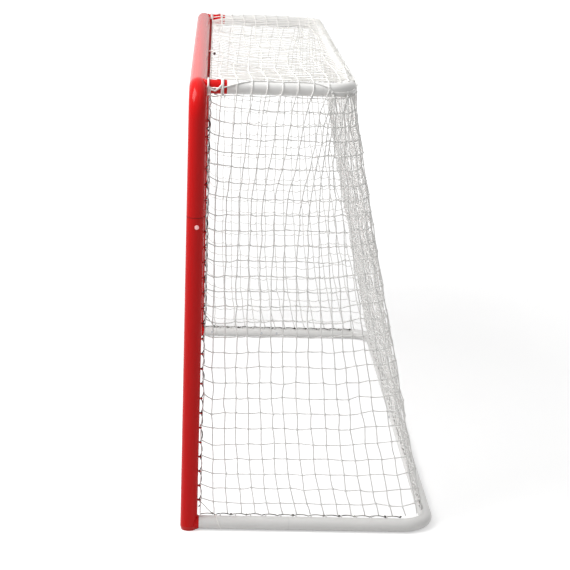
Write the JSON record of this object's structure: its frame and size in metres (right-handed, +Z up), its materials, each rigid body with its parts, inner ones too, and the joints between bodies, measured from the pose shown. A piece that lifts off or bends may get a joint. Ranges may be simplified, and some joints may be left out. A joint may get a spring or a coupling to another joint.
{
  "type": "hockey goal net",
  "caption": "Free-standing ice hockey goal: red tubular mouth frame with snap-button joints, white tubular base and top frame, laced white net.",
  "frame": {"origin": "on the floor, under the middle of the goal's overall box", "axes": "+X across the mouth, the mouth faces -Y, +Z up"},
  "size_m": [1.9302, 0.723, 1.267],
  "materials": {
    "red_enamel": "glossy red enamel on steel tube",
    "white_enamel": "glossy white powder coat on steel tube",
    "foot_plastic": "red moulded plastic",
    "button_steel": "bright plated steel",
    "spring_steel": "spring steel strip",
    "zinc_steel": "zinc plated steel",
    "net_cord": "knotted white twine, 43 mm mesh",
    "lacing_cord": "dark braided lacing cord"
  },
  "bodies": {
    "goal_frame": {"left_post": "red_enamel", "right_post": "red_enamel", "left_upper": "red_enamel", "right_upper": "red_enamel", "left_foot": "foot_plastic", "right_foot": "foot_plastic", "left_post_loops": "red_enamel", "right_post_loops": "red_enamel", "left_upper_loops": "red_enamel", "right_upper_loops": "red_enamel", "left_button_spring": "spring_steel", "right_button_spring": "spring_steel", "crossbar_button_spring": "spring_steel", "left_base_front": "white_enamel", "right_base_front": "white_enamel", "left_base_corner": "white_enamel", "right_base_corner": "white_enamel", "left_front_loops": "white_enamel", "right_front_loops": "white_enamel", "left_corner_loops": "white_enamel", "right_corner_loops": "white_enamel", "left_base_sleeve": "zinc_steel", "right_base_sleeve": "zinc_steel", "rear_base_sleeve": "zinc_steel", "left_top_side": "white_enamel", "right_top_side": "white_enamel", "left_top_elbow": "white_enamel", "right_top_elbow": "white_enamel", "left_top_rear": "white_enamel", "right_top_rear": "white_enamel", "rear_top_sleeve": "zinc_steel", "frame_screws": "zinc_steel", "left_post_lacing": "lacing_cord", "right_post_lacing": "lacing_cord", "crossbar_lacing": "lacing_cord", "left_base_lacing": "lacing_cord", "right_base_lacing": "lacing_cord", "rear_base_lacing": "lacing_cord", "top_net": "net_cord", "rear_net": "net_cord", "left_net": "net_cord", "right_net": "net_cord"},
    "left_button": {"left_button": "button_steel", "left_button_arm": "spring_steel"},
    "right_button": {"right_button": "button_steel", "right_button_arm": "spring_steel"},
    "crossbar_button": {"crossbar_button": "button_steel", "crossbar_button_arm": "spring_steel"}
  },
  "joints": [
    {"name": "right_button_press", "type": "slide", "parent": "goal_frame", "child": "right_button", "axis": [-0.9781, -0.2079, 0], "range_m": [0, 0.0055], "stiffness_N_per_m": 2500, "springref_m": -0.003},
    {"name": "left_button_press", "type": "slide", "parent": "goal_frame", "child": "left_button", "axis": [0.9781, -0.2079, 0], "range_m": [0, 0.0055], "stiffness_N_per_m": 2500, "springref_m": -0.003},
    {"name": "crossbar_button_press", "type": "slide", "parent": "goal_frame", "child": "crossbar_button", "axis": [0, 0, 1], "range_m": [0, 0.0055], "stiffness_N_per_m": 2500, "springref_m": -0.003}
  ]
}
